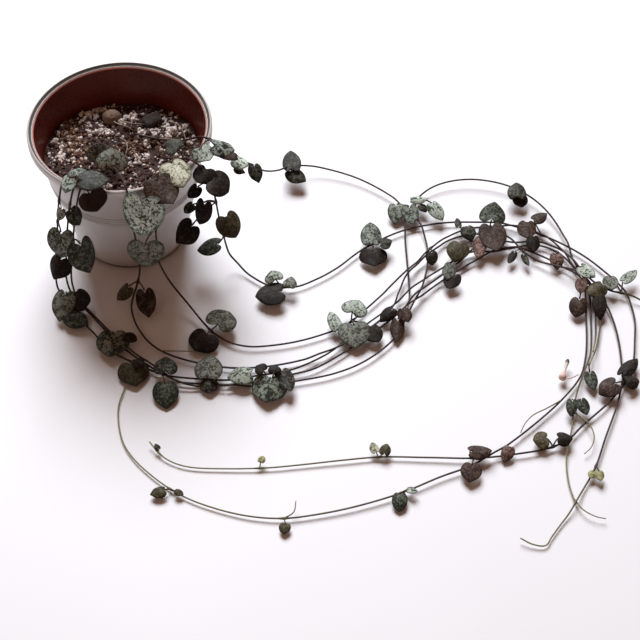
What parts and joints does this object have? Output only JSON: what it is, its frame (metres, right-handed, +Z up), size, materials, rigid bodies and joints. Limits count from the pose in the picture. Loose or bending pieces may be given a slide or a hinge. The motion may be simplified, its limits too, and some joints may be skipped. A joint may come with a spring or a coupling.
{
  "type": "potted trailing heart-leaved succulent",
  "caption": "Small tapered nursery pot of gritty mix with long thin trailing stems of paired heart-shaped leaves that hang over its rim and lie in loops on the surface.",
  "frame": {"origin": "centre of the pot's base, on the surface that it stands on", "axes": "+Z up, +X towards the far end of the trailing stems, -Y towards the side where most stems hang"},
  "size_m": [0.3505, 0.2638, 0.0904],
  "materials": {
    "pot_plastic": "smooth white outside, glossy red-brown inside",
    "potting_mix": "moist peat and bark with white grit",
    "tuber_skin": "dry brown skin",
    "bark": "rough",
    "stem_skin": "smooth, dark purple-brown",
    "leaf_skin": "waxy, silver-green marbling above and dark purple below",
    "flower_skin": "smooth, pale pink with a dark tip"
  },
  "bodies": {
    "root": {"bark_chip": "bark", "flower": "flower_skin", "leaves_front_a_1": "leaf_skin", "leaves_front_a_2": "leaf_skin", "leaves_front_a_3": "leaf_skin", "leaves_front_a_4": "leaf_skin", "leaves_front_a_5": "leaf_skin", "leaves_front_b_1": "leaf_skin", "leaves_front_b_2": "leaf_skin", "leaves_front_b_3": "leaf_skin", "leaves_front_b_4": "leaf_skin", "leaves_front_b_5": "leaf_skin", "leaves_front_b_6": "leaf_skin", "leaves_left_a_1": "leaf_skin", "leaves_left_a_2": "leaf_skin", "leaves_left_a_3": "leaf_skin", "leaves_left_a_4": "leaf_skin", "leaves_left_a_5": "leaf_skin", "leaves_left_a_6": "leaf_skin", "leaves_left_a_7": "leaf_skin", "leaves_left_b_1": "leaf_skin", "leaves_left_b_2": "leaf_skin", "leaves_left_b_3": "leaf_skin", "leaves_left_b_4": "leaf_skin", "leaves_left_b_5": "leaf_skin", "leaves_left_c_1": "leaf_skin", "leaves_left_c_2": "leaf_skin", "leaves_left_c_3": "leaf_skin", "leaves_left_c_4": "leaf_skin", "leaves_left_c_5": "leaf_skin", "leaves_left_c_6": "leaf_skin", "leaves_left_c_7": "leaf_skin", "leaves_right_a_1": "leaf_skin", "leaves_right_a_2": "leaf_skin", "leaves_right_a_3": "leaf_skin", "leaves_right_a_4": "leaf_skin", "leaves_right_a_5": "leaf_skin", "leaves_right_a_6": "leaf_skin", "leaves_right_a_7": "leaf_skin", "leaves_right_a_8": "leaf_skin", "leaves_right_a_9": "leaf_skin", "leaves_right_b_1": "leaf_skin", "leaves_right_b_2": "leaf_skin", "leaves_right_b_3": "leaf_skin", "leaves_right_b_4": "leaf_skin", "leaves_right_b_5": "leaf_skin", "leaves_right_b_6": "leaf_skin", "pot": "pot_plastic", "potting_mix": "potting_mix", "stem_branch": "stem_skin", "stem_front_a": "stem_skin", "stem_front_b": "stem_skin", "stem_left_a": "stem_skin", "stem_left_b": "stem_skin", "stem_left_c": "stem_skin", "stem_right_a": "stem_skin", "stem_right_b": "stem_skin", "tuber": "tuber_skin"}
  },
  "joints": []
}
